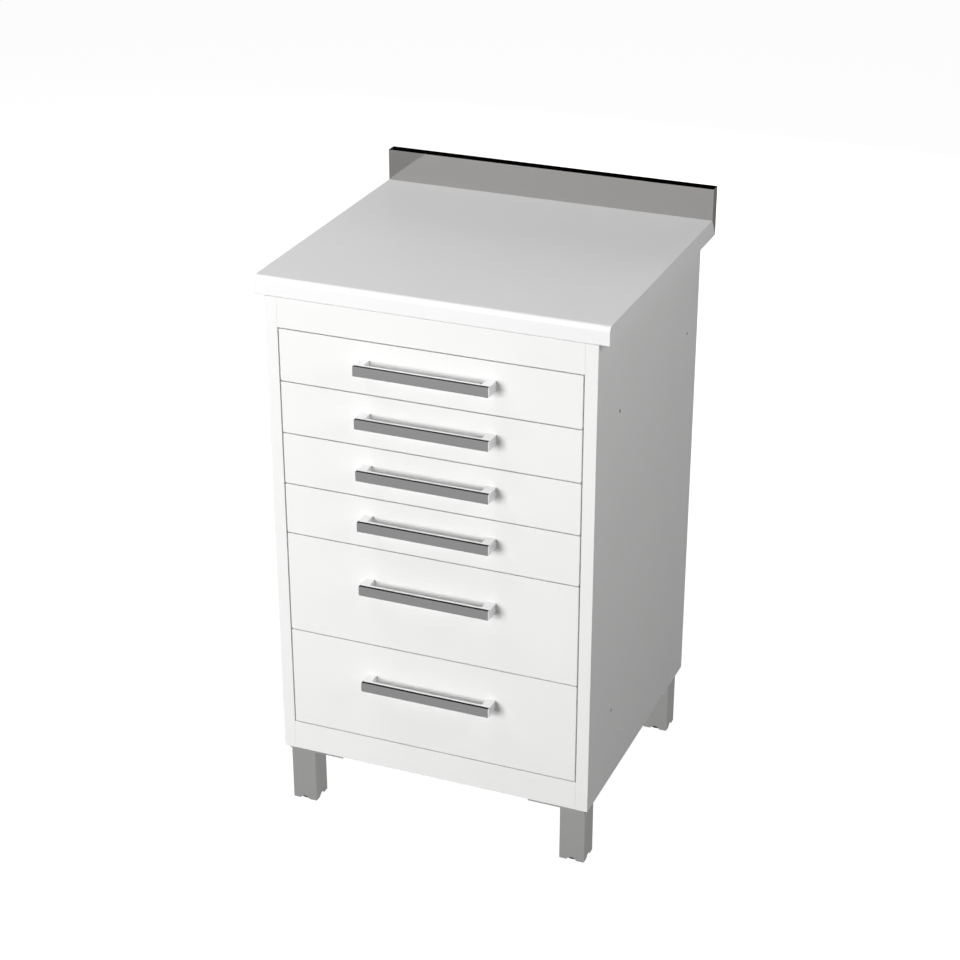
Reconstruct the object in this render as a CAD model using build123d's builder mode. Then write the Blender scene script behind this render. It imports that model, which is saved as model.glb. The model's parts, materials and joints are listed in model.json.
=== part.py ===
from build123d import *
import os

os.makedirs("parts", exist_ok=True)

# Dental cabinet with six drawers, standing on four square legs.
# Millimetres. X to the right, Y to the back, Z up. The origin is on the floor, under the middle
# of the whole cabinet's box, handles and worktop included.

# carcass
carcass_width = 500.0
carcass_depth = 461.5
carcass_height = 745.5
board = 19.0  # thickness of the white faced board
back_board = 8.0
back_inset = 12.0  # from the carcass's back edges to the back panel
groove_depth = 8.0
rail_bottom = 47.5
rail_top = 45.4
arris = 0.6  # eased edge of a board

# worktop and upstand
worktop_width = 530.0
worktop_depth = 484.5
worktop_thickness = 28.0
nose_radius = 8.0
nose_under_radius = 2.0
upstand_thickness = 19.0
upstand_height = 48.5
cover_sheet = 1.0

# drawers, the first one at the top
shallow_front = 79.4
deep_front = 161.9
front_heights = [shallow_front] * 4 + [deep_front] * 2
gap_between = 1.6
gap_side = 1.8
corner_radius = 2.0
front_arris = 0.6
tray_sheet = 1.2
tray_hem = 2.4  # folded edge along the top of each wall of a tray
tray_hem_height = 8.0
weld_gap = 0.1  # hairline between two sheets of a tray
tray_length = 400.0
tray_lift = 8.0  # from a front's bottom edge to its tray's underside
shallow_tray = 54.0
deep_tray = 120.0

# handles
handle_holes = 192.0  # between the two screws
handle_post = 14.0
handle_height = 15.0
handle_reach = 28.0
strip_depth = 5.0
grip_depth = 4.0
handle_end_wall = 1.0
handle_edge = 1.0
shallow_handle_drop = 34.5  # from a front's top edge to its handle's middle
deep_handle_drop = 58.0

# runners: three nested channels on each side of a tray
runner_thickness = 12.7
runner_length = 400.0
runner_height = 45.0
runner_sheet = 1.2
runner_set_back = 2.0
shallow_runner_lift = 27.0  # from a tray's underside to its runners' middle
deep_runner_lift = 35.0
cabinet_member_depth = 10.0
middle_member_height = 35.6
middle_member_start = 2.4
middle_member_depth = 7.6
drawer_member_height = 26.4
drawer_member_depth = 5.6

# legs and feet
leg_height = 100.0  # carcass above the floor
leg_side = 40.0
leg_wall = 2.0
leg_corner = 2.0
leg_inset_side = 6.7
leg_inset_front = 8.8
leg_lift = 1.5  # tube's end above the floor
leg_plate = 90.0
leg_plate_thickness = 6.0
leg_plate_lip = 3.5  # plate's outer edge, in front or at the back, beyond the tube's face
nut_plate_thickness = 6.0
nut_plate_height = 22.0
notch_width = 15.0
notch_height = 5.0
foot_radius = 16.5
foot_height = 8.0
stem_radius = 4.95
stem_hole_radius = 5.0
stem_top = 46.0

# holes that join one cabinet to the next
joining_radius = 3.0
joining_front = 97.5  # from the carcass's front to the two holes one above the other
joining_spacing_y = 313.0  # from the upper one of them back to the third hole
joining_low = 121.5  # above the carcass's underside
joining_spacing_z = 489.0

# screws
wood_screw_radius = 2.25
wood_screw_length = 20.0
wood_head_radius = 4.5
wood_head_height = 2.5
plate_hole_radius = 2.75
plate_screw_near = 22.0  # from the plate's outer corner
plate_screw_far = 80.0
handle_screw_radius = 2.0
handle_screw_grip = 14.0  # length inside the handle's post
front_screw_radius = 1.75
front_screw_grip = 13.0  # length inside the board
pan_head_radius = 4.0
pan_head_height = 2.4
screw_clearance = 0.2
front_screw_inset_x = 40.0
front_screw_inset_z = 13.0

# places that follow from the sizes above
total_depth = handle_reach + worktop_depth
front_y = -total_depth / 2 + handle_reach
back_y = front_y + carcass_depth
worktop_back = front_y + worktop_depth
half_width = carcass_width / 2
inner_x = half_width - board
base_z = leg_height
top_z = base_z + carcass_height
worktop_top = top_z + worktop_thickness
upstand_top = worktop_top + upstand_height
upstand_front = worktop_back - upstand_thickness
back_panel_y = back_y - back_inset - back_board
front_width = 2 * (inner_x - gap_side)
tray_half = inner_x - runner_thickness
tray_front_y = front_y + board
end_sheet_half = tray_half - tray_sheet - weld_gap
end_hem_half = tray_half - tray_hem - weld_gap
runner_y = tray_front_y + runner_set_back
handle_half = (handle_holes + handle_post) / 2


def save(part, label):
    """Labels a finished piece and writes it."""
    part.label = label
    export_step(part, f"parts/{label}.step")


# side panels, each grooved for the back panel and drilled for three joining bolts
upper_hole_z = base_z + joining_low + joining_spacing_z
joining_places = [
    (front_y + joining_front, base_z + joining_low),
    (front_y + joining_front, upper_hole_z),
    (front_y + joining_front + joining_spacing_y, upper_hole_z),
]
for side, side_name in ((-1, "left"), (1, "right")):
    with BuildPart() as side_panel:
        with BuildSketch(Plane.XY.offset(base_z)):
            with Locations((side * (half_width - board / 2), front_y + carcass_depth / 2)):
                Rectangle(board, carcass_depth)
            with Locations((side * (inner_x + groove_depth / 2), back_panel_y + back_board / 2)):
                Rectangle(groove_depth, back_board, mode=Mode.SUBTRACT)
        extrude(amount=carcass_height)
        front_edges = side_panel.faces().sort_by(Axis.Y)[0].edges().filter_by(Axis.Z)
        fillet(front_edges, radius=arris)
        with BuildSketch(Plane.YZ.offset(side * half_width)):
            with Locations(*joining_places):
                Circle(joining_radius)
        extrude(amount=-side * board, mode=Mode.SUBTRACT)
    save(side_panel.part, f"side_panel_{side_name}")

# base panel, between the sides and behind the bottom rail
base_depth = back_panel_y - tray_front_y
plate_inner_x = half_width - leg_inset_side
plate_front_y = front_y + leg_inset_front
plate_back_y = back_y - leg_inset_front
leg_corners = [
    (sx, sy, sx * plate_inner_x, plate_front_y if sy < 0 else plate_back_y)
    for sy in (-1, 1)
    for sx in (-1, 1)
]
plate_screws = [
    (x - sx * along_x, y - sy * along_y)
    for sx, sy, x, y in leg_corners
    for along_x, along_y in (
        (plate_screw_far, plate_screw_near),
        (plate_screw_far, plate_screw_far),
        (plate_screw_near, plate_screw_far),
    )
]
with BuildPart() as base_panel:
    with BuildSketch(Plane.XY.offset(base_z)):
        with Locations((0, tray_front_y + base_depth / 2)):
            Rectangle(2 * inner_x, base_depth)
    extrude(amount=board)
    with BuildSketch(Plane.XY.offset(base_z)):
        with Locations(*plate_screws):
            Circle(wood_screw_radius)
    extrude(amount=wood_screw_length - leg_plate_thickness, mode=Mode.SUBTRACT)
save(base_panel.part, "base_panel")

# back panel, held in the side panels' grooves
with BuildPart() as back_panel:
    with BuildSketch(Plane.XY.offset(base_z)):
        with Locations((0, back_panel_y + back_board / 2)):
            Rectangle(2 * (inner_x + groove_depth), back_board)
    extrude(amount=carcass_height)
save(back_panel.part, "back_panel")

# rails: two at the front, flush with the sides, and one at the top of the back panel
rails = {
    "top_front_rail": (front_y, top_z - rail_top, rail_top),
    "bottom_front_rail": (front_y, base_z, rail_bottom),
    "top_rear_rail": (back_panel_y - board, top_z - rail_top, rail_top),
}
for rail_name, (rail_y, rail_z, rail_height) in rails.items():
    with BuildPart() as rail:
        with BuildSketch(Plane.XY.offset(rail_z)):
            with Locations((0, rail_y + board / 2)):
                Rectangle(2 * inner_x, board)
        extrude(amount=rail_height)
        fillet(rail.faces().sort_by(Axis.Y)[0].edges(), radius=arris)
    save(rail.part, rail_name)

# worktop: rounded nose in front, mitred edge at the back
with BuildPart() as worktop:
    with BuildSketch(Plane.YZ.offset(-worktop_width / 2)):
        with BuildLine():
            Polyline(
                (front_y, top_z),
                (worktop_back, top_z),
                (upstand_front, worktop_top),
                (front_y, worktop_top),
                close=True,
            )
        make_face()
    extrude(amount=worktop_width)
    nose = worktop.faces().sort_by(Axis.Y)[0].edges().filter_by(Axis.X).sort_by(Axis.Z)
    fillet(nose[-1], radius=nose_radius)
    fillet(worktop.faces().sort_by(Axis.Y)[0].edges().filter_by(Axis.X).sort_by(Axis.Z)[0],
           radius=nose_under_radius)
save(worktop.part, "worktop")

# upstand: a board mitred onto the worktop, under a folded metal cover with closed ends
mitre_drop = cover_sheet * worktop_thickness / upstand_thickness
upstand_outline = [
    (upstand_front, worktop_top),
    (worktop_back, top_z),
    (worktop_back, upstand_top),
    (upstand_front, upstand_top),
]
upstand_core_outline = [
    (upstand_front + cover_sheet, worktop_top - mitre_drop),
    (worktop_back, top_z),
    (worktop_back, upstand_top - cover_sheet),
    (upstand_front + cover_sheet, upstand_top - cover_sheet),
]
core_width = worktop_width - 2 * cover_sheet
with BuildPart() as upstand_board:
    with BuildSketch(Plane.YZ.offset(-core_width / 2)):
        with BuildLine():
            Polyline(*upstand_core_outline, close=True)
        make_face()
    extrude(amount=core_width)
save(upstand_board.part, "upstand_board")

with BuildPart() as upstand_cover:
    with BuildSketch(Plane.YZ.offset(-worktop_width / 2)):
        with BuildLine():
            Polyline(*upstand_outline, close=True)
        make_face()
    extrude(amount=worktop_width)
    with BuildSketch(Plane.YZ.offset(-core_width / 2)):
        with BuildLine():
            Polyline(*upstand_core_outline, close=True)
        make_face()
    extrude(amount=core_width, mode=Mode.SUBTRACT)
save(upstand_cover.part, "upstand_cover")

# legs: square tube on a top plate, with a threaded plate inside for the foot
tube_top = base_z - leg_plate_thickness
nut_plate_z = leg_lift + nut_plate_height
for row, row_name in ((-1, "front"), (1, "rear")):
    with BuildPart() as leg_pair:
        for sx, sy, corner_x, corner_y in leg_corners:
            if sy != row:
                continue
            leg_x = corner_x - sx * leg_side / 2
            leg_y = corner_y - sy * leg_side / 2
            with BuildSketch(Plane.XY.offset(leg_lift)):
                with Locations((leg_x, leg_y)):
                    RectangleRounded(leg_side, leg_side, leg_corner)
                    Rectangle(leg_side - 2 * leg_wall, leg_side - 2 * leg_wall, mode=Mode.SUBTRACT)
            extrude(amount=tube_top - leg_lift)
            with BuildSketch(Plane.XY.offset(nut_plate_z)):
                with Locations((leg_x, leg_y)):
                    Rectangle(leg_side - 2 * leg_wall, leg_side - 2 * leg_wall)
                    Circle(stem_hole_radius, mode=Mode.SUBTRACT)
            extrude(amount=nut_plate_thickness)
            with BuildSketch(Plane.XY.offset(tube_top)):
                plate_y = corner_y - sy * (leg_plate / 2 - leg_plate_lip)
                with Locations((corner_x - sx * leg_plate / 2, plate_y)):
                    Rectangle(leg_plate, leg_plate)
                near_screws = [
                    (x, y) for x, y in plate_screws
                    if abs(x - corner_x) < leg_plate and abs(y - corner_y) < leg_plate
                ]
                with Locations(*near_screws):
                    Circle(plate_hole_radius, mode=Mode.SUBTRACT)
            extrude(amount=leg_plate_thickness)
            # a small arched notch at the foot of each face
            for notch_plane in (Plane.XZ.offset(-leg_y), Plane.YZ.offset(leg_x)):
                middle = leg_x if notch_plane.z_dir.Y else leg_y
                with BuildSketch(notch_plane):
                    with BuildLine():
                        ThreePointArc(
                            (middle - notch_width / 2, leg_lift),
                            (middle, leg_lift + notch_height),
                            (middle + notch_width / 2, leg_lift),
                        )
                        Line(
                            (middle + notch_width / 2, leg_lift),
                            (middle - notch_width / 2, leg_lift),
                        )
                    make_face()
                extrude(amount=leg_side, both=True, mode=Mode.SUBTRACT)
    save(leg_pair.part, f"{row_name}_legs")

# levelling feet: a pad inside the tube's end, on a stem in the threaded plate
for sx, sy, corner_x, corner_y in leg_corners:
    foot_name = f"foot_{'front' if sy < 0 else 'rear'}_{'left' if sx < 0 else 'right'}"
    with BuildPart() as foot:
        with BuildSketch(Plane.XY):
            with Locations((corner_x - sx * leg_side / 2, corner_y - sy * leg_side / 2)):
                Circle(foot_radius)
        extrude(amount=foot_height)
        fillet(foot.edges(), radius=arris)
        with BuildSketch(Plane.XY.offset(foot_height)):
            with Locations((corner_x - sx * leg_side / 2, corner_y - sy * leg_side / 2)):
                Circle(stem_radius)
        extrude(amount=stem_top - foot_height)
    save(foot.part, foot_name)

# screws that hold the leg plates to the base panel
with BuildPart() as leg_screws:
    with BuildSketch(Plane.XY.offset(tube_top)):
        with Locations(*plate_screws):
            Circle(wood_screw_radius)
    extrude(amount=wood_screw_length)
    with BuildSketch(Plane.XY.offset(tube_top - wood_head_height)):
        with Locations(*plate_screws):
            Circle(wood_head_radius)
    extrude(amount=wood_head_height)
save(leg_screws.part, "leg_screws")


def channel(side, web_at, open_to, height, middle_z):
    """Draws a channel's section seen from the front: a web with a lip at each end."""
    web_x = side * (inner_x - web_at)
    lip_x = side * (inner_x - open_to)
    with Locations(((web_x + lip_x) / 2, middle_z)):
        Rectangle(abs(web_x - lip_x), height)
    solid_side = 1 if web_at < open_to else -1
    inner_web = side * (inner_x - web_at - solid_side * runner_sheet)
    with Locations(((inner_web + lip_x) / 2, middle_z)):
        Rectangle(abs(inner_web - lip_x), height - 2 * runner_sheet, mode=Mode.SUBTRACT)


# drawers, from the top down
front_top = top_z - rail_top - gap_between
cabinet_channels = []
for number, front_height in enumerate(front_heights, start=1):
    shallow = front_height == shallow_front
    front_bottom = front_top - front_height
    handle_z = front_top - (shallow_handle_drop if shallow else deep_handle_drop)
    tray_z = front_bottom + tray_lift
    tray_height = shallow_tray if shallow else deep_tray
    hem_z = tray_z + tray_height - tray_hem_height / 2
    runner_z = tray_z + (shallow_runner_lift if shallow else deep_runner_lift)
    cabinet_channels.append(runner_z)
    handle_screw_places = [(-handle_holes / 2, handle_z), (handle_holes / 2, handle_z)]
    front_screw_places = [
        (sx * (tray_half - front_screw_inset_x), z)
        for sx in (-1, 1)
        for z in (tray_z + front_screw_inset_z, tray_z + tray_height - front_screw_inset_z)
    ]

    # front board, with rounded corners and blind holes for its screws
    with BuildPart() as drawer_front:
        with BuildSketch(Plane.XZ.offset(-tray_front_y)):
            with Locations((0, front_bottom + front_height / 2)):
                RectangleRounded(front_width, front_height, corner_radius)
        extrude(amount=board)
        chamfer(drawer_front.faces().sort_by(Axis.Y)[0].edges(), length=front_arris)
        with BuildSketch(Plane.XZ.offset(-tray_front_y)):
            with Locations(*handle_screw_places):
                Circle(handle_screw_radius + screw_clearance)
        extrude(amount=board, mode=Mode.SUBTRACT)
        with BuildSketch(Plane.XZ.offset(-tray_front_y)):
            with Locations(*front_screw_places):
                Circle(front_screw_radius)
        extrude(amount=front_screw_grip, mode=Mode.SUBTRACT)
    save(drawer_front.part, f"drawer_front_{number}")

    # tray, spot-welded from five sheets: a floor, two sides, a front and a back
    with BuildPart() as tray:
        with BuildSketch(Plane.XY.offset(tray_z)):
            with Locations((0, tray_front_y + tray_length / 2)):
                Rectangle(2 * end_sheet_half, tray_length - 2 * (tray_sheet + weld_gap))
        extrude(amount=tray_sheet)
        with BuildSketch(Plane.XZ.offset(-tray_front_y)):
            for side in (-1, 1):
                with Locations((side * (tray_half - tray_sheet / 2), tray_z + tray_height / 2)):
                    Rectangle(tray_sheet, tray_height)
                with Locations((side * (tray_half - tray_hem / 2), hem_z)):
                    Rectangle(tray_hem, tray_hem_height)
        extrude(amount=-tray_length)
        for end_y, inwards in ((tray_front_y, -1), (tray_front_y + tray_length, 1)):
            below_hem = tray_height - tray_hem_height - weld_gap
            with BuildSketch(Plane.XZ.offset(-end_y)):
                with Locations((0, tray_z + below_hem / 2)):
                    Rectangle(2 * end_sheet_half, below_hem)
                with Locations((0, tray_z + tray_height / 2)):
                    Rectangle(2 * end_hem_half, tray_height)
            extrude(amount=inwards * tray_sheet)
            with BuildSketch(Plane.XZ.offset(-end_y)):
                with Locations((0, hem_z)):
                    Rectangle(2 * end_hem_half, tray_hem_height)
            extrude(amount=inwards * tray_hem)
        with BuildSketch(Plane.XZ.offset(-tray_front_y)):
            with Locations(*handle_screw_places):
                Circle(handle_screw_radius + screw_clearance)
            with Locations(*front_screw_places):
                Circle(front_screw_radius + screw_clearance)
        extrude(amount=-tray_sheet, mode=Mode.SUBTRACT)
    save(tray.part, f"drawer_tray_{number}")

    # bow handle: two posts and a grip, with a seat for the metal strip in front
    with BuildPart() as handle:
        with BuildSketch(Plane.XZ.offset(-front_y)):
            with Locations((0, handle_z)):
                Rectangle(2 * handle_half, handle_height)
        extrude(amount=handle_reach)
        fillet(handle.edges().filter_by(Axis.Y), radius=handle_edge)
        with BuildSketch(Plane.XZ.offset(-front_y + handle_reach)):
            with Locations((0, handle_z)):
                Rectangle(2 * (handle_half - handle_end_wall), handle_height)
        extrude(amount=-strip_depth, mode=Mode.SUBTRACT)
        with BuildSketch(Plane.XZ.offset(-front_y)):
            with Locations((0, handle_z)):
                Rectangle(handle_holes - handle_post, handle_height)
        extrude(amount=handle_reach - strip_depth - grip_depth, mode=Mode.SUBTRACT)
        with BuildSketch(Plane.XZ.offset(-front_y)):
            with Locations(*handle_screw_places):
                Circle(handle_screw_radius)
        extrude(amount=handle_screw_grip, mode=Mode.SUBTRACT)
    save(handle.part, f"handle_{number}")

    with BuildPart() as handle_strip:
        with BuildSketch(Plane.XZ.offset(-front_y + handle_reach)):
            with Locations((0, handle_z)):
                Rectangle(2 * (handle_half - handle_end_wall), handle_height)
        extrude(amount=-strip_depth)
        fillet(handle_strip.faces().sort_by(Axis.Y)[0].edges(), radius=arris)
    save(handle_strip.part, f"handle_strip_{number}")

    # screws from inside the tray: two into the handle, four into the front board
    screw_seat = tray_front_y + tray_sheet
    with BuildPart() as drawer_screws:
        with BuildSketch(Plane.XZ.offset(-screw_seat)):
            with Locations(*handle_screw_places):
                Circle(handle_screw_radius)
        extrude(amount=tray_sheet + board + handle_screw_grip)
        with BuildSketch(Plane.XZ.offset(-screw_seat)):
            with Locations(*front_screw_places):
                Circle(front_screw_radius)
        extrude(amount=tray_sheet + front_screw_grip)
        with BuildSketch(Plane.XZ.offset(-screw_seat)):
            with Locations(*handle_screw_places, *front_screw_places):
                Circle(pan_head_radius)
        extrude(amount=-pan_head_height)
    save(drawer_screws.part, f"drawer_screws_{number}")

    # drawer members, screwed flat to the tray's sides
    with BuildPart() as runner_drawer:
        with BuildSketch(Plane.XZ.offset(-runner_y)):
            for side in (-1, 1):
                channel(side, runner_thickness, runner_thickness - drawer_member_depth,
                        drawer_member_height, runner_z)
        extrude(amount=-runner_length)
    save(runner_drawer.part, f"runner_drawer_{number}")

    # middle members: a web with lips to both sides, between the other two
    with BuildPart() as runner_middle:
        with BuildSketch(Plane.XZ.offset(-runner_y)):
            for side in (-1, 1):
                lips_x = side * (inner_x - middle_member_start - middle_member_depth / 2)
                web_x = side * (inner_x - middle_member_start - runner_sheet * 1.5)
                with Locations((lips_x, runner_z)):
                    Rectangle(middle_member_depth, middle_member_height)
                    Rectangle(middle_member_depth, middle_member_height - 2 * runner_sheet,
                              mode=Mode.SUBTRACT)
                with Locations((web_x, runner_z)):
                    Rectangle(runner_sheet, middle_member_height)
        extrude(amount=-runner_length)
    save(runner_middle.part, f"runner_middle_{number}")

    front_top = front_bottom - gap_between

# cabinet members of all the runners, screwed flat to the side panels
with BuildPart() as runner_cabinet:
    with BuildSketch(Plane.XZ.offset(-runner_y)):
        for side in (-1, 1):
            for runner_z in cabinet_channels:
                channel(side, 0, cabinet_member_depth, runner_height, runner_z)
    extrude(amount=-runner_length)
save(runner_cabinet.part, "runner_cabinet")
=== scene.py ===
import json
import math
import bmesh
import bpy
from mathutils import Matrix, Vector


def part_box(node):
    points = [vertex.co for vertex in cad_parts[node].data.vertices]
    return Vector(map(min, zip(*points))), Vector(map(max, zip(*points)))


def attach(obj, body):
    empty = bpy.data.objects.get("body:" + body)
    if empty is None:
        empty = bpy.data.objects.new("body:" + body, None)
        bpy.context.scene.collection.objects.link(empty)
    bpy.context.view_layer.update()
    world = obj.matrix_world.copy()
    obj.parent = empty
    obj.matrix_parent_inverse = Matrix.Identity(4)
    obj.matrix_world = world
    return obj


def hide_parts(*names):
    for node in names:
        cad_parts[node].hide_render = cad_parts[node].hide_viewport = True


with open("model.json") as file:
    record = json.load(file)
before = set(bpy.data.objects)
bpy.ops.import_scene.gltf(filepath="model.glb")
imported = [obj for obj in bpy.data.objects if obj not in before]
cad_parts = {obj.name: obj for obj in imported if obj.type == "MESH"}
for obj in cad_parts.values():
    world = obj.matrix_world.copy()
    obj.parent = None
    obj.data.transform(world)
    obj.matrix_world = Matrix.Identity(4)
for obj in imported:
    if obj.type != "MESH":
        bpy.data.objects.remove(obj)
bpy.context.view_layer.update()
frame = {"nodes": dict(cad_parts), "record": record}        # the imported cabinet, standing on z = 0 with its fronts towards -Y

mm = 0.001
nodes = frame["nodes"]
bodies = frame["record"]["behaviour"]["bodies"]
drawerCount = sum(1 for name in bodies if name.startswith("drawer_"))


def linear(hexColour):
    # an sRGB hex colour as the linear RGBA that a socket takes
    parts = [int(hexColour[i:i + 2], 16) / 255 for i in (1, 3, 5)]
    return [c / 12.92 if c <= 0.04045 else ((c + 0.055) / 1.055) ** 2.4 for c in parts] + [1.0]


def addNode(tree, kind, settings=None, links=None):
    # a node with its sockets or properties set and its inputs linked
    node = tree.nodes.new(kind)
    for name, value in (settings or {}).items():
        if isinstance(name, int) or name in node.inputs:
            node.inputs[name].default_value = value
        else:
            setattr(node, name, value)
    for name, source in (links or {}).items():
        tree.links.new(source, node.inputs[name])
    return node


def newMaterial(name):
    material = bpy.data.materials.new(name)
    material.use_nodes = True
    tree = material.node_tree
    tree.nodes.clear()
    return material, tree


def grain(tree, sizes, detail=2.0):
    # noise whose cells are that many millimetres along X, Y and Z of the piece
    place = addNode(tree, "ShaderNodeTexCoord")
    scaled = addNode(tree, "ShaderNodeMapping", {"Scale": [1 / (size * mm) for size in sizes]},
                     {"Vector": place.outputs["Object"]})
    noise = addNode(tree, "ShaderNodeTexNoise", {"Scale": 1.0, "Detail": detail},
                    {"Vector": scaled.outputs["Vector"]})
    return noise.outputs["Fac"]


def finishSurface(tree, pattern, colours, gloss, relief, depth, settings):
    # the colour runs between two values over the pattern, the roughness between two values
    # over the relief, and the relief stands out by a depth in millimetres
    tint = addNode(tree, "ShaderNodeMix",
                   {"data_type": "RGBA", 6: linear(colours[0]), 7: linear(colours[1])},
                   {0: pattern})
    shine = addNode(tree, "ShaderNodeMapRange", {"To Min": gloss[0], "To Max": gloss[1]},
                    {"Value": relief})
    bump = addNode(tree, "ShaderNodeBump", {"Strength": 1.0, "Distance": depth * mm},
                   {"Height": relief})
    shader = addNode(tree, "ShaderNodeBsdfPrincipled", settings,
                     {"Base Color": tint.outputs[2], "Roughness": shine.outputs["Result"],
                      "Normal": bump.outputs["Normal"]})
    addNode(tree, "ShaderNodeOutputMaterial", {}, {"Surface": shader.outputs["BSDF"]})


def melamineBoard():
    # white melamine-faced chipboard: satin, with the press plate's faint pearl texture
    material, tree = newMaterial("melamineFacedBoard")
    finishSurface(tree, grain(tree, (90, 90, 90)), ("#EFEFEE", "#F3F3F2"), (0.36, 0.46),
                  grain(tree, (1.1, 1.1, 1.1), 3), 0.012, {"IOR": 1.5})
    return material


def postformedLaminate():
    # high-pressure laminate bent over the nose: a little smoother than the boards
    material, tree = newMaterial("postformedLaminate")
    finishSurface(tree, grain(tree, (120, 120, 120)), ("#EFEFEF", "#F3F3F3"), (0.32, 0.42),
                  grain(tree, (0.9, 0.9, 0.9), 3), 0.01, {"IOR": 1.5})
    return material


def hardboard():
    # white-faced hardboard for the back, flatter and duller than the boards
    material, tree = newMaterial("whiteHardboard")
    fibre = grain(tree, (2.5, 2.5, 6), 4)
    finishSurface(tree, fibre, ("#E6E6E3", "#ECECEA"), (0.5, 0.62), fibre, 0.02, {"IOR": 1.5})
    return material


def chipboard():
    # bare sawn chipboard: pale pressed flakes with darker gaps
    material, tree = newMaterial("rawChipboard")
    place = addNode(tree, "ShaderNodeTexCoord")
    flakeSize = 2.2 * mm
    flake = addNode(tree, "ShaderNodeTexVoronoi", {"Scale": 1 / flakeSize},
                    {"Vector": place.outputs["Object"]})
    finishSurface(tree, flake.outputs["Distance"], ("#C9A877", "#8E6B44"), (0.8, 0.95),
                  grain(tree, (0.8, 0.8, 0.8), 3), 0.15, {"IOR": 1.45})
    return material


def satinSteel():
    # stainless tube ground lengthways: short upright scratches that stretch the reflections,
    # with a tint that keeps its edges as grey as its faces
    material, tree = newMaterial("groundStainlessTube")
    scratch = grain(tree, (0.35, 0.35, 22), 3)
    finishSurface(tree, scratch, ("#9F9F9E", "#A9A9A8"), (0.3, 0.42), scratch, 0.006,
                  {"Metallic": 1.0, "Specular Tint": linear("#C4C4C4")})
    return material


def coverSteel():
    # bright-rolled stainless sheet, nearly a mirror: it shows the worktop in front of it,
    # with a tint that holds the reflection down where it is seen at a low angle
    material, tree = newMaterial("brightRolledSteel")
    scratch = grain(tree, (30, 0.3, 0.3), 3)
    finishSurface(tree, scratch, ("#C3C1BF", "#C8C6C4"), (0.06, 0.1), scratch, 0.001,
                  {"Metallic": 1.0, "Specular Tint": linear("#5A5A5A")})
    return material


def polishedStrip():
    # polished aluminium facing, grey and even, with hardly visible drawing lines
    material, tree = newMaterial("polishedAluminiumFacing")
    scratch = grain(tree, (26, 0.25, 0.25), 2)
    finishSurface(tree, scratch, ("#939293", "#979697"), (0.07, 0.12), scratch, 0.001,
                  {"Metallic": 1.0})
    return material


def paintedReflectionCore():
    # black core behind the facing, matt: its black is a painted reflection of the dark surround
    # that a polished top face would mirror, and it shows as the dark line on top of each grip
    material, tree = newMaterial("blackPaintedReflectionCore")
    pit = grain(tree, (0.5, 0.5, 0.5))
    finishSurface(tree, pit, ("#060606", "#0C0C0C"), (0.55, 0.7), pit, 0.01,
                  {"IOR": 1.5, "Specular IOR Level": 0.15})
    return material


def mouldedPlastic():
    # glossy white ABS from a polished mould
    material, tree = newMaterial("glossWhiteAbs")
    flow = grain(tree, (25, 25, 25))
    finishSurface(tree, flow, ("#EDEDED", "#F1F1F1"), (0.16, 0.22), flow, 0.01, {"IOR": 1.53})
    return material


def powderCoat():
    # white powder coat on the folded trays: fine orange peel
    material, tree = newMaterial("whitePowderCoat")
    peel = grain(tree, (1.6, 1.6, 1.6), 1)
    finishSurface(tree, peel, ("#E6E7E7", "#ECEDED"), (0.34, 0.44), peel, 0.02, {"IOR": 1.5})
    return material


def zincPlate():
    # bright zinc plating: bluish, with slow cloudy changes in gloss
    material, tree = newMaterial("blueZincPlate")
    cloud = grain(tree, (14, 14, 14), 4)
    finishSurface(tree, cloud, ("#A9AFB5", "#BCC0C3"), (0.26, 0.4), cloud, 0.01, {"Metallic": 1.0})
    return material


def ballSteel():
    # ground bearing steel: small bright balls with a clear highlight
    material, tree = newMaterial("groundBallSteel")
    haze = grain(tree, (0.4, 0.4, 0.4))
    finishSurface(tree, haze, ("#BFC1C4", "#CBCDCF"), (0.06, 0.12), haze, 0.001, {"Metallic": 1.0})
    return material


def weldBead():
    # stainless weld, brushed clean: rippled along the seam and duller than the tube
    material, tree = newMaterial("brushedWeldBead")
    ripple = grain(tree, (1.6, 1.6, 1.6), 1)
    finishSurface(tree, ripple, ("#7E7C79", "#8E8D8B"), (0.4, 0.55), ripple, 0.25,
                  {"Metallic": 1.0})
    return material


def footPlastic():
    # black glass-filled nylon, matt and slightly grainy
    material, tree = newMaterial("blackNylon")
    pit = grain(tree, (0.6, 0.6, 0.6))
    finishSurface(tree, pit, ("#161616", "#222222"), (0.5, 0.65), pit, 0.03, {"IOR": 1.53})
    return material


finishes = {
    "white_faced_board": melamineBoard(),
    "white_hardboard": hardboard(),
    "white_laminate_worktop": postformedLaminate(),
    "raw_board": chipboard(),
    "satin_steel": satinSteel(),
    "white_moulded_plastic": mouldedPlastic(),
    "polished_strip": polishedStrip(),
    "white_powder_coat": powderCoat(),
    "zinc_plated_steel": zincPlate(),
    "zinc_plated_screws": zincPlate(),
    "black_foot_plastic": footPlastic(),
}
ownFinish = {"upstand_cover": coverSteel()}    # brighter than the legs that share its slot
# the grips' black core is a painted reflection of the dark surround
darkTopReflection, bearingSteel, seamWeld = paintedReflectionCore(), ballSteel(), weldBead()
for entry in frame["record"]["subparts"]:
    finish = ownFinish.get(entry["node"], finishes[entry["material_slot"]])
    node = nodes[entry["node"]]
    node.data.materials.clear()
    node.data.materials.append(finish)
print("finishes on", len(nodes), "nodes")


sharpAngle = math.radians(35)    # folds steeper than this stay crisp
mergeGap = 0.01 * mm             # points nearer than this become one


def meshFrom(form, name):
    mesh = bpy.data.meshes.new(name)
    form.to_mesh(mesh)
    form.free()
    return mesh


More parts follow.
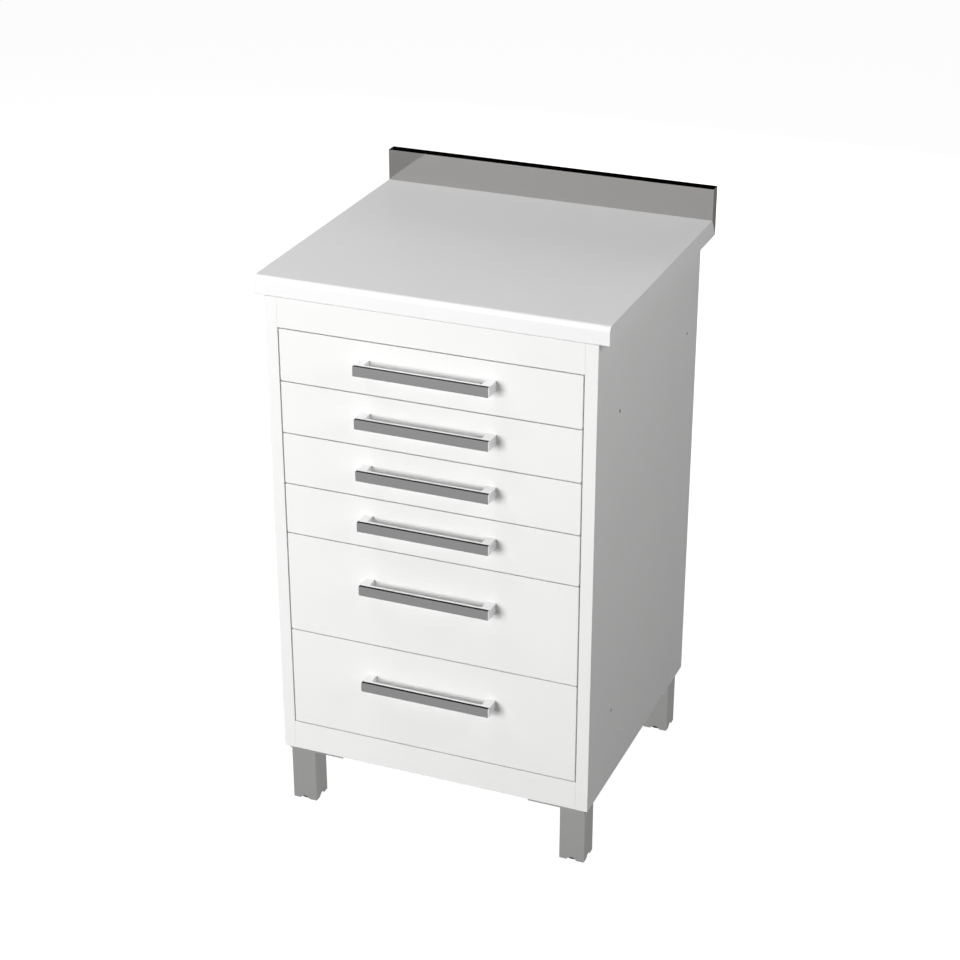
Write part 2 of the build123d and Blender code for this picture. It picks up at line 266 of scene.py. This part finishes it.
def newPiece(form, name, body, finish, replaced=(), sheet=0):
    # the finished mesh as a piece that rides on its body, thickened inwards where it is sheet
    bmesh.ops.recalc_face_normals(form, faces=form.faces)
    mesh = meshFrom(form, name)
    mesh.shade_smooth()
    mesh.set_sharp_from_angle(angle=sharpAngle)
    mesh.materials.append(finish)
    piece = bpy.data.objects.new(name, mesh)
    bpy.context.scene.collection.objects.link(piece)
    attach(piece, body)
    if replaced:
        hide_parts(*replaced)
    if sheet:
        wall = piece.modifiers.new("wall", "SOLIDIFY")
        wall.thickness = sheet * mm
        wall.offset = -1
        wall.use_even_offset = True
    # keeps the large faces flat beside their rounded edges
    flats = piece.modifiers.new("flats", "WEIGHTED_NORMAL")
    flats.keep_sharp = True


def boxOf(node):
    # the low and the high corner of a CAD node's box, in metres
    return [Vector(corner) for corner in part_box(node)]


def only(parts, kind):
    return [part for part in parts if isinstance(part, kind)]


def turned(form, profile, steps):
    # a line of radii and heights in millimetres, spun round Z
    corners = [form.verts.new((radius * mm, 0, height * mm)) for radius, height in profile]
    line = [form.edges.new(pair) for pair in zip(corners, corners[1:])]
    bmesh.ops.spin(form, geom=corners + line, axis=(0, 0, 1), cent=(0, 0, 0),
                   angle=math.tau, steps=steps, use_merge=True)


def roundEdges(form, edges, radius, segments, clamp=False):
    # the radius is in millimetres
    bmesh.ops.bevel(form, geom=edges, offset=radius * mm, offset_type="OFFSET", segments=segments,
                    profile=0.5, affect="EDGES", material=-1, clamp_overlap=clamp)


def block(form, low, high):
    # a sharp box between two corners in metres, to be shaped further
    size, middle = Vector(high) - Vector(low), (Vector(high) + Vector(low)) / 2
    place = Matrix.Translation(middle) @ Matrix.Diagonal((*size, 1))
    return bmesh.ops.create_cube(form, size=1.0, matrix=place)["verts"]


def bar(form, low, high, edge, segments=2):
    # a straight bar with its edges rounded
    corners = block(form, low, high)
    sides = list(dict.fromkeys(side for corner in corners for side in corner.link_edges))
    roundEdges(form, sides, edge, segments)


def clearLoose(form):
    # edges and points that no face uses
    bmesh.ops.delete(form, geom=[edge for edge in form.edges if not edge.link_faces],
                     context="EDGES")
    bmesh.ops.delete(form, geom=[vert for vert in form.verts if not vert.link_faces],
                     context="VERTS")


def addCopies(form, shape, places):
    # the shape once at each place
    for place in places:
        known = len(form.verts)
        form.from_mesh(shape)
        form.verts.ensure_lookup_table()
        bmesh.ops.transform(form, matrix=place, verts=form.verts[known:])


screws = {
    "headRadius": 4.0,
    "headHeight": 2.4,
    # from the top down, in shares of the head's radius and height
    "headOutline": [(0.68, 1.0), (0.86, 0.9), (0.97, 0.62), (1.0, 0.2), (0.97, 0)],
    "tip": 0.3,                    # share of the shank's radius
    "turnSteps": 20,
    "crossReach": 2.3,             # recess, from the middle to the end of each arm
    "crossArm": 1.1,
    "crossDepth": 1.4,
    "crossTaper": 0.6,             # size of its floor beside its mouth
    "handleShank": (2.0, 34.2),    # radius and length
    "frontShank": (1.75, 14.2),
    "frontInset": (40.0, 13.0),    # from a tray's side and from its top or bottom
    "handleHoles": 192.0,
    "legHead": 4.5,
    "legShank": (2.25, 20.0),
    "legNear": 22.0,               # from the tube's outer corner
    "legFar": 80.0,
}


def crossHeadScrew(headRadius, shank):
    # pan head with a cross recess, standing on z = 0 with its shank below
    radius, length = shank
    height = screws["headHeight"]
    form = bmesh.new()
    outline = [(headRadius * out, height * up) for out, up in screws["headOutline"]]
    outline += [(radius, 0), (radius, radius - length), (radius * screws["tip"], -length),
                (0, -length)]
    turned(form, outline, screws["turnSteps"])
    bmesh.ops.remove_doubles(form, verts=form.verts, dist=mergeGap)

    # a grid of three by three faces without its corners is the cross
    reach, half = screws["crossReach"] * mm, screws["crossArm"] * mm / 2
    grid = bmesh.ops.create_grid(form, x_segments=3, y_segments=3, size=reach,
                                 matrix=Matrix.Translation((0, 0, height * mm)))["verts"]
    for vert in grid:
        vert.co.x = math.copysign(reach if abs(vert.co.x) > reach / 2 else half, vert.co.x)
        vert.co.y = math.copysign(reach if abs(vert.co.y) > reach / 2 else half, vert.co.y)
    cross, corners = [], []
    for face in dict.fromkeys(face for vert in grid for face in vert.link_faces):
        middle = face.calc_center_median()
        outside = min(abs(middle.x), abs(middle.y)) > half
        (corners if outside else cross).append(face)
    bmesh.ops.delete(form, geom=corners, context="FACES")
    clearLoose(form)

    # it is joined to the head's rim and sunk
    bmesh.ops.bridge_loops(form, edges=[edge for edge in form.edges if edge.is_boundary])
    floor = only(bmesh.ops.extrude_face_region(form, geom=cross)["geom"], bmesh.types.BMVert)
    bmesh.ops.delete(form, geom=[face for face in cross if face.is_valid], context="FACES_ONLY")
    clearLoose(form)
    bmesh.ops.scale(form, vec=(screws["crossTaper"], screws["crossTaper"], 1), verts=floor)
    bmesh.ops.translate(form, vec=(0, 0, -screws["crossDepth"] * mm), verts=floor)
    bmesh.ops.recalc_face_normals(form, faces=form.faces)
    return meshFrom(form, "screwShape")


handleScrew = crossHeadScrew(screws["headRadius"], screws["handleShank"])
frontScrew = crossHeadScrew(screws["headRadius"], screws["frontShank"])
legScrew = crossHeadScrew(screws["legHead"], screws["legShank"])
trays = {
    "sheet": 1.2,
    "bend": 2.0,          # outer radius of each fold
    "bendSegments": 4,
    "hem": 2.4,           # width of the rim, folded inwards
    "hemHeight": 8.0,     # how far it then comes down
    "hemEdge": 0.5,
    "hemAngle": 1.0,      # radians between faces, past which the rim's edges are rounded
    "rimBand": 0.1,       # and how near the top they lie
}
facing = {"thickness": 0.7, "edge": 0.3}


def foldTray(number):
    # one sheet folded up on four sides and hemmed along its rim
    low, high = boxOf(f"drawer_tray_{number}")
    size, middle = high - low, (high + low) / 2
    form = bmesh.new()
    block(form, low, high)
    lid = [face for face in form.faces if face.calc_center_median().z > high.z - mm]
    bmesh.ops.delete(form, geom=lid, context="FACES_ONLY")
    roundEdges(form, [edge for edge in form.edges if not edge.is_boundary], trays["bend"],
               trays["bendSegments"])
    rim = [edge for edge in form.edges if edge.is_boundary]
    hem = 2 * trays["hem"] * mm
    for factor, drop in (((1 - hem / size.x, 1 - hem / size.y, 1), 0),
                         ((1, 1, 1), trays["hemHeight"])):
        grown = bmesh.ops.extrude_edge_only(form, edges=rim)["geom"]
        leaf = only(grown, bmesh.types.BMVert)
        bmesh.ops.scale(form, vec=factor, verts=leaf, space=Matrix.Translation(-middle))
        bmesh.ops.translate(form, vec=(0, 0, -drop * mm), verts=leaf)
        rim = [edge for edge in only(grown, bmesh.types.BMEdge) if edge.is_boundary]
    rimZ = high.z - trays["rimBand"] * mm
    top = [edge for edge in form.edges
           if len(edge.link_faces) == 2 and edge.calc_face_angle() > trays["hemAngle"]
           and min(vert.co.z for vert in edge.verts) > rimZ]
    roundEdges(form, top, trays["hemEdge"], 2)
    newPiece(form, f"foldedTray_{number}", f"drawer_{number}", finishes["white_powder_coat"],
             [f"drawer_tray_{number}"], trays["sheet"])


def fastenTray(number):
    # screws from inside the tray: two into the handle and four into the front board
    low, high = boxOf(f"drawer_tray_{number}")
    handleLow, handleHigh = boxOf(f"handle_{number}")
    handleZ = (handleLow.z + handleHigh.z) / 2
    handleX = screws["handleHoles"] / 2 * mm
    inset, rise = (value * mm for value in screws["frontInset"])
    seat = low.y + trays["sheet"] * mm
    turn = Matrix.Rotation(math.radians(-90), 4, "X")
    form = bmesh.new()
    addCopies(form, handleScrew, [Matrix.Translation((side * handleX, seat, handleZ)) @ turn
                                  for side in (-1, 1)])
    addCopies(form, frontScrew, [Matrix.Translation((side * (high.x - inset), seat, height)) @ turn
                                 for side in (-1, 1) for height in (low.z + rise, high.z - rise)])
    newPiece(form, f"trayScrews_{number}", f"drawer_{number}", finishes["zinc_plated_screws"],
             [f"drawer_screws_{number}"])


def faceGrip(number):
    # grip strip: a thin metal facing on a black core, whose black top is a painted reflection of
    # the dark surround
    low, high = boxOf(f"handle_strip_{number}")
    split = low.y + facing["thickness"] * mm
    form = bmesh.new()
    bar(form, low, (high.x, split, high.z), facing["edge"])
    newPiece(form, f"gripFacing_{number}", f"drawer_{number}", finishes["polished_strip"],
             [f"handle_strip_{number}"])
    # the black core behind the facing: a painted reflection, the dark line on the grip's top
    form = bmesh.new()
    bar(form, (low.x, split, low.z), high, facing["edge"])
    newPiece(form, f"gripPaintedReflection_{number}", f"drawer_{number}", darkTopReflection)


for number in range(1, drawerCount + 1):
    foldTray(number)
    fastenTray(number)
    faceGrip(number)
print("trays, screws and grips on", drawerCount, "drawers")


runners = {
    "ball": 1.6,                       # radius
    "ballFacets": (8, 6),              # few, as there are hundreds of balls
    "ballPitch": 21.0,
    "ballCount": 9,
    "cageSheet": 0.6,
    "cageEdge": 0.15,
    "cageEnd": 4.0,                    # from a cage's end to its first ball
    "outerRow": (225.0, 19.5, 6.0),    # from the cabinet's middle, from the runner's, cage width
    "innerRow": (222.4, 14.9, 3.4),
    "rowStart": 6.0,                   # from the middle member's end
}
form = bmesh.new()
around, along = runners["ballFacets"]
bmesh.ops.create_uvsphere(form, u_segments=around, v_segments=along, radius=runners["ball"] * mm)
ballShape = meshFrom(form, "ballShape")
rowLength = runners["ballPitch"] * (runners["ballCount"] - 1) + 2 * runners["cageEnd"]
ballPlaces = [(runners["cageEnd"] + step * runners["ballPitch"]) * mm
              for step in range(runners["ballCount"])]
halfSheet = runners["cageSheet"] / 2 * mm
for number in range(1, drawerCount + 1):
    low, high = boxOf(f"runner_middle_{number}")
    level = (low.z + high.z) / 2
    balls, cages = bmesh.new(), bmesh.new()
    # the outer rows stay in the rear half and the inner ones in the front half
    for row, start in ((runners["outerRow"], high.y - (runners["rowStart"] + rowLength) * mm),
                       (runners["innerRow"], low.y + runners["rowStart"] * mm)):
        across, lift, width = (value * mm for value in row)
        for side in (-1, 1):
            for up in (-1, 1):
                x, z = side * across, level + up * lift
                bar(cages, (x - width / 2, start, z - halfSheet),
                    (x + width / 2, start + rowLength * mm, z + halfSheet), runners["cageEdge"], 1)
                addCopies(balls, ballShape,
                          [Matrix.Translation((x, start + place, z)) for place in ballPlaces])
    newPiece(cages, f"ballCages_{number}", f"middle_runners_{number}",
             finishes["zinc_plated_steel"])
    newPiece(balls, f"balls_{number}", f"middle_runners_{number}", bearingSteel)
print("ball rows in", 2 * drawerCount, "runners")


easing = {
    "cover": 0.4,         # radius on the upstand's cover
    "member": 0.25,       # and on the runners' members
    "mergeGap": 0.005,
    "flatAngle": 1.0,     # degrees between faces, under which they are one
    "sharpAngle": 0.6,    # radians between faces, past which their edge is rounded
}


def easedCopy(node, name, body, finish, edge):
    # the node's own shape with its sharp edges rounded
    form = bmesh.new()
    form.from_mesh(nodes[node].data)
    bmesh.ops.remove_doubles(form, verts=form.verts, dist=easing["mergeGap"] * mm)
    bmesh.ops.dissolve_limit(form, angle_limit=math.radians(easing["flatAngle"]),
                             verts=form.verts, edges=form.edges)
    sharp = [side for side in form.edges
             if len(side.link_faces) == 2 and side.calc_face_angle() > easing["sharpAngle"]]
    roundEdges(form, sharp, edge, 2, clamp=True)
    newPiece(form, name, body, finish, [node])


easedCopy("upstand_cover", "foldedCover", "cabinet", ownFinish["upstand_cover"],
          easing["cover"])
members = [("runner_cabinet", "cabinetMembers", "cabinet")]
for number in range(1, drawerCount + 1):
    members += [(f"runner_middle_{number}", f"middleMembers_{number}", f"middle_runners_{number}"),
                (f"runner_drawer_{number}", f"drawerMembers_{number}", f"drawer_{number}")]
for node, name, body in members:
    easedCopy(node, name, body, finishes["zinc_plated_steel"],
              easing["member"])
print("rounded cover and runner members")


legs = {
    "tube": 40.0,
    "corner": 2.0,
    "cornerSegments": 4,
    "plate": 6.0,
    "plateLip": 3.5,       # plate in front of or behind the tube
    "beadLeg": 2.0,        # weld up each face of the tube
    # the weld's section: out from the tube's face, and up from its lower edge
    "beadSection": [(0, 0), (0.9, 0.6), (1.5, 1.2), (2.0, 2.0), (-0.3, 2.0), (-0.3, 0), (0, 0)],
    # the foot's pad from under its middle up to its top: radii and heights
    "padOutline": [(0, 0.6), (11.5, 0.6), (12.0, 0), (15.3, 0), (16.3, 0.8), (16.5, 2), (16.5, 6),
                   (15.1, 7.6), (13.5, 8), (0, 8)],
    "padSteps": 48,
    "padHeight": 8.0,
    "stemCore": 4.2,       # radii of the thread
    "stemCrest": 4.95,
    "stemTop": 46.0,
    "stemPlain": 1.0,      # below and above the thread
    "stemChamfer": 1.2,
    "pitch": 1.5,
    "turnSteps": 14,
}


def weldShape():
    # a closed ring of weld round a tube's upper end, under a plate at z = 0
    form = bmesh.new()
    bmesh.ops.create_grid(form, x_segments=1, y_segments=1, size=legs["tube"] / 2 * mm,
                          matrix=Matrix.Translation((0, 0, -legs["beadLeg"] * mm)))
    bmesh.ops.bevel(form, geom=form.verts[:], offset=legs["corner"] * mm, offset_type="OFFSET",
                    segments=legs["cornerSegments"], profile=0.5, affect="VERTICES", material=-1)
    loop = form.edges[:]
    bmesh.ops.delete(form, geom=form.faces[:], context="FACES_ONLY")
    for (out, up), (nextOut, nextUp) in zip(legs["beadSection"], legs["beadSection"][1:]):
        grown = bmesh.ops.extrude_edge_only(form, edges=loop)["geom"]
        ring = only(grown, bmesh.types.BMVert)
        wider = (legs["tube"] / 2 + nextOut) / (legs["tube"] / 2 + out)
        bmesh.ops.scale(form, vec=(wider, wider, 1), verts=ring)
        bmesh.ops.translate(form, vec=(0, 0, (nextUp - up) * mm), verts=ring)
        loop = [edge for edge in only(grown, bmesh.types.BMEdge)
                if all(vert in ring for vert in edge.verts)]
    bmesh.ops.remove_doubles(form, verts=form.verts, dist=mergeGap)
    return meshFrom(form, "weldShape")


def padShape():
    form = bmesh.new()
    turned(form, legs["padOutline"], legs["padSteps"])
    bmesh.ops.remove_doubles(form, verts=form.verts, dist=mergeGap)
    return meshFrom(form, "padShape")


def stemShape():
    # a ridge wound up round a plain core, closed at its two ends
    form = bmesh.new()
    core, start, top = legs["stemCore"], legs["padHeight"], legs["stemTop"]
    turns = int((top - start - legs["stemPlain"]) / legs["pitch"]) - 1
    ridge = [(core, start), (legs["stemCrest"], start + legs["pitch"] / 2),
             (core, start + legs["pitch"])]
    corners = [form.verts.new((radius * mm, 0, level * mm)) for radius, level in ridge]
    line = [form.edges.new(pair) for pair in zip(corners, corners[1:])]
    bmesh.ops.spin(form, geom=corners + line, axis=(0, 0, 1), cent=(0, 0, 0),
                   dvec=(0, 0, legs["pitch"] / legs["turnSteps"] * mm),
                   angle=turns * math.tau, steps=turns * legs["turnSteps"])
    bmesh.ops.remove_doubles(form, verts=form.verts, dist=mergeGap)
    bmesh.ops.holes_fill(form, edges=[edge for edge in form.edges if edge.is_boundary], sides=0)
    base = start - legs["stemPlain"]
    turned(form, [(0, base), (core, base), (core, top - legs["stemChamfer"]),
                  (core - legs["stemChamfer"], top), (0, top)], legs["turnSteps"])
    bmesh.ops.remove_doubles(form, verts=form.verts, dist=mergeGap)
    return meshFrom(form, "stemShape")


weld, pad, stem = weldShape(), padShape(), stemShape()
beads, fasteners = bmesh.new(), bmesh.new()
near, far = screws["legNear"] * mm, screws["legFar"] * mm
upsideDown = Matrix.Rotation(math.pi, 4, "X")
for row, outwards in (("front", -1), ("rear", 1)):
    low, high = boxOf(f"{row}_legs")
    plateZ = high.z - legs["plate"] * mm
    faceY = (low.y if row == "front" else high.y) - outwards * legs["plateLip"] * mm
    y = faceY - outwards * legs["tube"] / 2 * mm
    for side, sideName in ((-1, "left"), (1, "right")):
        x = side * (high.x - legs["tube"] / 2 * mm)
        addCopies(beads, weld, [Matrix.Translation((x, y, plateZ))])
        addCopies(fasteners, legScrew,
                  [Matrix.Translation((side * (high.x - across), faceY - outwards * along, plateZ))
                   @ upsideDown for across, along in ((far, near), (far, far), (near, far))])
        foot, place = f"foot_{row}_{sideName}", Matrix.Translation((x, y, 0))
        form = bmesh.new()
        addCopies(form, pad, [place])
        newPiece(form, f"footPad_{row}_{sideName}", foot, finishes["black_foot_plastic"],
                 [foot])
        form = bmesh.new()
        addCopies(form, stem, [place])
        newPiece(form, f"footStem_{row}_{sideName}", foot, finishes["zinc_plated_screws"])
newPiece(beads, "legWelds", "cabinet", seamWeld)
newPiece(fasteners, "legScrews", "cabinet", finishes["zinc_plated_screws"],
         ["leg_screws"])
print("welds, screws and levelling feet on four legs")


studio = {
    "floorRadius": 14.0,
    "cameraGlow": 0.965,       # of the floor as the camera sees it, before its shading is added
    "mirrorGlow": 0.7,         # and as metal and gloss see it
    "shadowShare": 0.2,        # of the floor's shading that is added to both
    "floorColour": "#909090",  # as the light that bounces off it meets it
    "ambient": 0.0,
    "ceilingStart": 12.0,      # degrees above the horizon where the white backdrop ends
    "ceilingEnd": 15.0,
    "ceilingColour": "#050505",
}
# a grey card beside the worktop's left edge, seen only as the upstand's end reflects it: it glows
# grey and casts no light or shadow, a painted reflection that darkens that end
reflectionCard = {"middle": (-0.378, -0.05, 0.8), "half": (0.093, 0.12), "grey": "#A6A6A6"}
# where each lamp stands and aims, its size and its watts
lamps = {
    "softboxFront": ((-1.2, -3.6, 1.3), (0, 0, 0.6), 1.6, 123),
    "softboxRight": ((1.6, -0.6, 1.6), (0.2, 0, 0.8), 0.8, 10),
    "softboxHighLeft": ((-1.0, -0.4, 2.8), (0, 0, 0.6), 1.6, 32),
    "softboxBehind": ((0.0, 3.4, 0.9), (0, 0, 0.5), 1.8, 80),
}
# the photograph's view, worked out from the straight edges of the cabinet
view = {
    "place": (1.1475, -2.8548, 1.9730),
    "azimuth": 22.037,
    "elevation": 27.127,
    "sensor": 36.0,
    "lens": 83.83,
    "shiftX": -0.0040,
    "shiftY": 0.0634,
}


def seenDirectly(tree):
    # 1 for the camera's rays, for reflections and for what shows through
    path = addNode(tree, "ShaderNodeLightPath")
    some = addNode(tree, "ShaderNodeMath", {"operation": "MAXIMUM"},
                   {0: path.outputs["Is Camera Ray"], 1: path.outputs["Is Glossy Ray"]})
    seen = addNode(tree, "ShaderNodeMath", {"operation": "MAXIMUM"},
                   {0: some.outputs[0], 1: path.outputs["Is Transmission Ray"]})
    return seen.outputs[0]


def makeFloor():
    # pale to look at or see reflected, with a faint shadow, and mid grey to the light
    form = bmesh.new()
    bmesh.ops.create_circle(form, cap_ends=True, segments=96, radius=studio["floorRadius"])
    mesh = meshFrom(form, "studioFloor")
    floor = bpy.data.objects.new("studioFloor", mesh)
    bpy.context.scene.collection.objects.link(floor)
    material, tree = newMaterial("paleStudioFloor")
    plain = addNode(tree, "ShaderNodeBsdfDiffuse", {"Color": linear(studio["floorColour"])})
    shaded = addNode(tree, "ShaderNodeBsdfDiffuse", {"Color": [studio["shadowShare"]] * 3 + [1]})
    path = addNode(tree, "ShaderNodeLightPath")
    strength = addNode(tree, "ShaderNodeMapRange",
                       {"To Min": studio["mirrorGlow"], "To Max": studio["cameraGlow"]},
                       {"Value": path.outputs["Is Camera Ray"]})
    glow = addNode(tree, "ShaderNodeEmission", {"Color": linear("#FFFFFF")},
                   {"Strength": strength.outputs["Result"]})
    white = addNode(tree, "ShaderNodeAddShader", {}, {0: shaded.outputs[0], 1: glow.outputs[0]})
    mixed = addNode(tree, "ShaderNodeMixShader", {},
                    {0: seenDirectly(tree), 1: plain.outputs[0], 2: white.outputs[0]})
    addNode(tree, "ShaderNodeOutputMaterial", {}, {"Surface": mixed.outputs[0]})
    mesh.materials.append(material)


def makePaintedReflection():
    # a painted reflection: a glowing grey sheet that only reflections see, darkening the upstand's
    # left end
    place = Matrix.Translation(reflectionCard["middle"]) @ Matrix.Diagonal((*reflectionCard["half"], 1, 1))
    form = bmesh.new()
    bmesh.ops.create_grid(form, x_segments=1, y_segments=1, size=1.0, matrix=place)
    mesh = meshFrom(form, "paintedReflectionCard")
    card = bpy.data.objects.new("paintedReflectionCard", mesh)
    bpy.context.scene.collection.objects.link(card)
    material, tree = newMaterial("greyPaintedReflection")
    glow = addNode(tree, "ShaderNodeEmission", {"Color": linear(reflectionCard["grey"]), "Strength": 1.0})
    addNode(tree, "ShaderNodeOutputMaterial", {}, {"Surface": glow.outputs[0]})
    mesh.materials.append(material)
    card.visible_camera = False
    card.visible_diffuse = False
    card.visible_shadow = False
    card.visible_transmission = False


def makeWorld():
    # a white surround up to the ceiling, which only reflections and the camera see
    world = bpy.data.worlds.new("softStudio")
    bpy.context.scene.world = world
    world.use_nodes = True
    tree = world.node_tree
    tree.nodes.clear()
    direction = addNode(tree, "ShaderNodeTexCoord")
    parts = addNode(tree, "ShaderNodeSeparateXYZ", {}, {0: direction.outputs["Generated"]})
    height = addNode(tree, "ShaderNodeMapRange",
                     {"From Min": math.sin(math.radians(studio["ceilingStart"])),
                      "From Max": math.sin(math.radians(studio["ceilingEnd"]))},
                     {"Value": parts.outputs["Z"]})
    backdrop = addNode(tree, "ShaderNodeMix",
                       {"data_type": "RGBA", 6: linear("#FFFFFF"),
                        7: linear(studio["ceilingColour"])},
                       {0: height.outputs["Result"]})
    shown = addNode(tree, "ShaderNodeBackground", {"Strength": 1.0}, {"Color": backdrop.outputs[2]})
    ambient = addNode(tree, "ShaderNodeBackground",
                      {"Color": linear("#FFFFFF"), "Strength": studio["ambient"]})
    mixed = addNode(tree, "ShaderNodeMixShader", {},
                    {0: seenDirectly(tree), 1: ambient.outputs[0], 2: shown.outputs[0]})
    addNode(tree, "ShaderNodeOutputWorld", {}, {"Surface": mixed.outputs[0]})


def makeLamp(name, place, aim, size, power):
    lamp = bpy.data.lights.new(name, "AREA")
    lamp.shape = "SQUARE"
    lamp.size = size
    lamp.energy = power
    stand = bpy.data.objects.new(name, lamp)
    stand.location = place
    stand.rotation_euler = (Vector(aim) - Vector(place)).to_track_quat("-Z", "Y").to_euler()
    stand.visible_glossy = False    # metal and gloss show the white backdrop, not the lamps
    bpy.context.scene.collection.objects.link(stand)


def makeCamera():
    lens = bpy.data.cameras.new("studioCamera")
    lens.sensor_width = view["sensor"]
    lens.lens = view["lens"]
    lens.shift_x = view["shiftX"]
    lens.shift_y = view["shiftY"]
    camera = bpy.data.objects.new("studioCamera", lens)
    camera.location = view["place"]
    camera.rotation_euler = (math.radians(90 - view["elevation"]), 0,
                             math.radians(view["azimuth"]))
    bpy.context.scene.collection.objects.link(camera)
    bpy.context.scene.camera = camera


makeFloor()
makePaintedReflection()
makeWorld()
for name, (place, aim, size, power) in lamps.items():
    makeLamp(name, place, aim, size, power)
makeCamera()
bpy.context.scene.view_settings.view_transform = "Standard"
print("studio ready")
